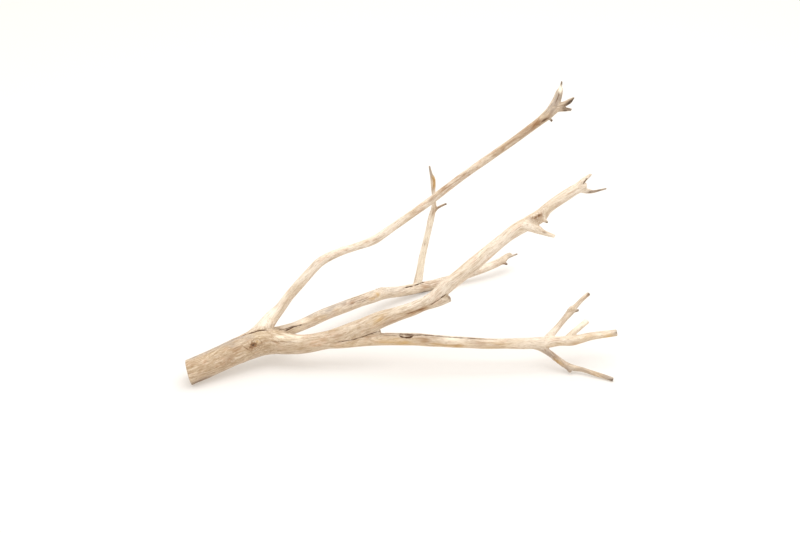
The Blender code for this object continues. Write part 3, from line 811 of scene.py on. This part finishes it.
# Driftwood: a bare hardwood branch, bleached by sun and water and worn smooth. It is pale,
# matte and dry, with darker summer wood showing as streaks along the grain.
driftwood = {
    "pale": "F2E5D4", "tan": "DAC6AA", "deep": "C1AB90", "streak": "A2886A", "figure": "A88B6C",
    "blush": "D0A384", "olive": "BDA77C", "grey": "A89C91", "brown": "98714E", "freshAndLit": "FBF0DC",
    "warm": "CFAA6E", "pit": "86603F", "dark": "4B3A2D", "crack": "5A3E29",
    "roughness": 0.78, "specular": 0.3, "bump": 0.8,
    # mm along and across the grain, detail and roughness of each pattern
    "patterns": {
        "bands": (70, 8, 2, 0.5),  # soft bands of darker wood
        "streaks": (32, 2.1, 3, 0.65),  # summer wood, 1 to 2 mm wide
        "fibres": (11, 0.7, 2, 0.6),  # open fibres, drawn 0.7 mm wide where real ones are 0.1
        "checks": (8, 0.9, 1, 0.4),  # short drying checks
        "patches": (26, 8, 2, 0.55),  # sun-worn patches
        "figure": (12, 2.6, 2, 0.6),  # wavy figure across the grain
        "strokes": (15, 1.8, 2, 0.6),  # short dark strokes
        "hues": (24, 8, 2, 0.55),  # pinkish and olive patches
    },
    # edges of cracks and knots are frayed by the fibres, and the tone follows the bands
    "frayed": {"frayedEdge": ("edge", "fibres", 0.6), "frayedKnot": ("ratio", "fibres", 0.9),
               "bandedTone": ("tone", "bands", 0.6)},
    "knotRings": 9.0, "ringsReach": 2.6,  # how close the rings are, and knot radii
    # the colours, one over the other: what each follows, from, to, how strong, colour
    "layers": {
        "bands": ("bands", 0.4, 0.68, 0.6, "tan"),
        "tone": ("bandedTone", 0.2, 1.3, 1.0, "deep"),
        "blush": ("hues", 0.52, 0.72, 0.42, "blush"),
        "olive": ("hues", 0.46, 0.28, 0.32, "olive"),
        "figure": ("figure", 0.5, 0.63, "figured", "figure"),
        "figureGaps": ("figure", 0.46, 0.36, "figured", "tan"),
        "strokes": ("strokes", 0.54, 0.63, "figured", "streak"),
        "streaks": ("streaks", 0.5, 0.65, 0.38, "streak"),
        "streakGaps": ("streaks", 0.47, 0.35, 0.3, "pale"),
        "fibres": ("fibres", 0.52, 0.67, 0.4, "streak"),
        "sunWorn": ("patches", 0.62, 0.8, 0.22, "grey"),
        "grey": ("streaks", 0.3, 0.55, "grey", "grey"),
        "warm": ("patches", 0.25, 0.6, "warm", "warm"),
        "brown": ("streaks", 0.22, 0.6, "brown", "brown"),
        "rings": ("rings", 0.1, 1.6, "nearKnot", "brown"),
        # fresh wood at broken ends and bare places, and painted light on the undersides and along
        # the top before the fork
        "freshAndLit": ("freshAndLit", 0.0, 1.0, 0.9, "freshAndLit"),
        "checks": ("checks", 0.66, 0.74, 0.5, "brown"),
        "knot": ("frayedKnot", 1.7, 1.0, "knotBrown", "pit"),
        "knotPit": ("frayedKnot", 0.95, 0.6, "knotBrown", "dark"),
        "dark": ("fibres", 0.2, 0.55, "dark", "dark"),
        "crack": ("frayedEdge", 0.45, 0.1, "cracked", "crack"),
    },
    # relief in mm: patterns that are raised, and layers that are sunk
    "raised": {"streaks": 0.6, "fibres": 0.3, "figure": 0.2},
    "sunk": {"checks": -0.5, "crack": -0.5},
}


def sunBleachedDriftwood(tree):
    place = addNode(tree, "Attribute", {}, attribute_name="grain")["Vector"]
    stainAndShade = addNode(tree, "Attribute", {}, attribute_name="stainAndShade")
    shades = addNode(tree, "SeparateColor", {"Color": stainAndShade["Color"]})
    values = {"dark": stainAndShade["Alpha"], **dict(zip(("brown", "grey", "freshAndLit"), shades))}
    for name, parts in (("crack", ("side", "half", "cracked")), ("knot", ("ratio", "knotBrown")),
                        ("tint", ("tone", "warm", "figured"))):
        painted = addNode(tree, "Attribute", {}, attribute_name=name)["Vector"]
        values.update(zip(parts, addNode(tree, "SeparateXYZ", {"Vector": painted})))
    for name, (along, across, detail, roughness) in driftwood["patterns"].items():
        stretched = addNode(tree, "VectorMath", {
            "Vector": place, "Vector_001": (1000 / along, 1000 / across, 1000 / across)},
            operation="MULTIPLY")[0]
        values[name] = addNode(tree, "TexNoise", {
            "Vector": stretched, "Scale": 1.0, "Detail": detail, "Roughness": roughness})[0]

    away = addNode(tree, "Math", {"Value": values["side"]}, operation="ABSOLUTE")[0]
    values["edge"] = addNode(tree, "Math", {
        "Value": away, "Value_001": values["half"]}, operation="SUBTRACT")[0]
    for name, (frayed, pattern, amount) in driftwood["frayed"].items():
        values[name] = addNode(tree, "Math", {
            "Value": values[pattern], "Value_001": amount, "Value_002": values[frayed]},
            operation="MULTIPLY_ADD")[0]
    waves = addNode(tree, "Math", {
        "Value": values["ratio"], "Value_001": driftwood["knotRings"]}, operation="MULTIPLY")[0]
    values["rings"] = addNode(tree, "Math", {"Value": waves}, operation="SINE")[0]
    values["nearKnot"] = addNode(tree, "MapRange", {
        "Value": values["ratio"], "From Min": driftwood["ringsReach"], "From Max": 1.0,
        "To Max": values["knotBrown"]}, interpolation_type="SMOOTHSTEP")[0]
    layWood(tree, driftwood, values)


# End grain where the branch was sawn: dull and dry, with growth rings round the pith, drying
# cracks that run outwards from it, and faint saw marks. Distances are in mm.
endGrain = {
    "pith": (-4, 9, 20),
    "bandSpacing": 0.314,  # of a wave texture at scale 1
    # how far apart, how crooked, and the detail of that and its scale; the rings are drawn
    # 1.7 mm wide where real ones are under 1
    "rings": (1.7, 6.5, 2.0, 0.5), "sawMarks": (1.1, 0.8, 1.0, 0.4),
    "blotches": 5, "rays": 2.3,  # their size, and how close the cracks are round the pith
    "crackFull": 9.0, "crackGone": 15.0, "crackStrength": 0.95,
    "pale": "D6BF9F", "ring": "A38461", "weathered": "9F9284", "crack": "57402C",
    "roughness": 0.85, "specular": 0.25, "bump": 0.8,
    "layers": {
        "rings": ("rings", 0.35, 0.95, 0.65, "ring"),
        "blotches": ("blotches", 0.5, 0.7, 0.6, "ring"),
        "weathered": ("blotches", 0.52, 0.34, 0.6, "weathered"),
        "rim": ("reach", 13.0, 19.0, 0.6, "weathered"),
        "pith": ("reach", 1.6, 0.6, 0.8, "crack"),
        "crack": ("rays", 0.59, 0.63, "reached", "crack"),
    },
    "raised": {"sawMarks": 0.12, "rings": 0.12}, "sunk": {"crack": -0.8},
}


def sawnEndGrain(tree):
    place = addNode(tree, "TexCoord", {})["Object"]
    # millimetres from the pith, with x along the trunk
    flat = addNode(tree, "Mapping", {
        "Vector": place, "Location": placed(endGrain["pith"]), "Rotation": (0, -pitch, yaw),
        "Scale": (mm, mm, mm)}, vector_type="TEXTURE")[0]
    inPlane = addNode(tree, "VectorMath", {
        "Vector": flat, "Vector_001": (0.0, 1.0, 1.0)}, operation="MULTIPLY")[0]
    reach = addNode(tree, "VectorMath", {"Vector": inPlane}, operation="LENGTH")["Value"]
    ray = addNode(tree, "VectorMath", {"Vector": inPlane}, operation="NORMALIZE")[0]
    values = {"reach": reach}
    for name, kind in (("rings", "RINGS"), ("sawMarks", "BANDS")):
        spacing, crooked, detail, detailScale = endGrain[name]
        values[name] = addNode(tree, "TexWave", {
            "Vector": inPlane, "Scale": endGrain["bandSpacing"] / spacing,
            "Distortion": crooked, "Detail": detail, "Detail Scale": detailScale},
            wave_type=kind, rings_direction="X", bands_direction="Z")[1]
    values["blotches"] = addNode(tree, "TexNoise", {
        "Vector": inPlane, "Scale": 1 / endGrain["blotches"], "Detail": 3.0,
        "Roughness": 0.6})[0]
    values["rays"] = addNode(tree, "TexNoise", {
        "Vector": ray, "Scale": endGrain["rays"], "Detail": 3.0, "Roughness": 0.65})[0]
    values["reached"] = addNode(tree, "MapRange", {
        "Value": reach, "From Min": endGrain["crackGone"], "From Max": endGrain["crackFull"],
        "To Max": endGrain["crackStrength"]}, interpolation_type="SMOOTHSTEP")[0]
    layWood(tree, endGrain, values)


for material, draw in zip(wood.data.materials, (sunBleachedDriftwood, sawnEndGrain)):
    material.use_nodes = True
    material.node_tree.nodes.clear()
    draw(material.node_tree)
print("wood coloured")

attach(wood, "root")
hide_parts("driftwood")


# A plain white table that is faintly lit from within, as for product photographs, a large
# soft light overhead and even light all round
studio = {
    "floor": "C2C0BE", "floorSize": 30, "floorDrop": 0.0002, "roughness": 0.9, "specular": 0.1,
    "glow": "FFF8F0", "glowStrength": 0.33,
    "lampSize": 2.3, "lampPlace": (0.15, 0.15, 2.3), "lampPower": 38,
    "ambient": "FFFDFA", "ambientStrength": 1.01,
}
selectOnly()
bpy.ops.mesh.primitive_plane_add(size=studio["floorSize"], location=(0, 0, -studio["floorDrop"]))
floor = bpy.context.object
floor.name = "floor"
table = bpy.data.materials.new("litWhiteTable")
table.use_nodes = True
for key, value in (("Base Color", colour(studio["floor"])), ("Roughness", studio["roughness"]),
                   ("Specular IOR Level", studio["specular"]),
                   ("Emission Color", colour(studio["glow"])),
                   ("Emission Strength", studio["glowStrength"])):
    table.node_tree.nodes["Principled BSDF"].inputs[key].default_value = value
floor.data.materials.append(table)

bpy.ops.object.light_add(type="AREA", location=studio["lampPlace"])
lamp = bpy.context.object
lamp.data.shape = "SQUARE"
lamp.data.size = studio["lampSize"]
lamp.data.energy = studio["lampPower"]

world = bpy.data.worlds.new("studio")
bpy.context.scene.world = world
world.use_nodes = True
worldInputs = world.node_tree.nodes["Background"].inputs
worldInputs["Color"].default_value = colour(studio["ambient"])
worldInputs["Strength"].default_value = studio["ambientStrength"]
bpy.context.scene.view_settings.view_transform = "Standard"

# The photograph looks down 29 degrees from about 2.3 m away
shot = {"place": (-0.0049, -1.9905, 1.2021), "tiltDeg": 61, "lens": 70, "sensor": 36}
bpy.ops.object.camera_add(location=shot["place"], rotation=(math.radians(shot["tiltDeg"]), 0, 0))
camera = bpy.context.object
camera.data.lens = shot["lens"]
camera.data.sensor_width = shot["sensor"]
bpy.context.scene.camera = camera
print("studio ready")
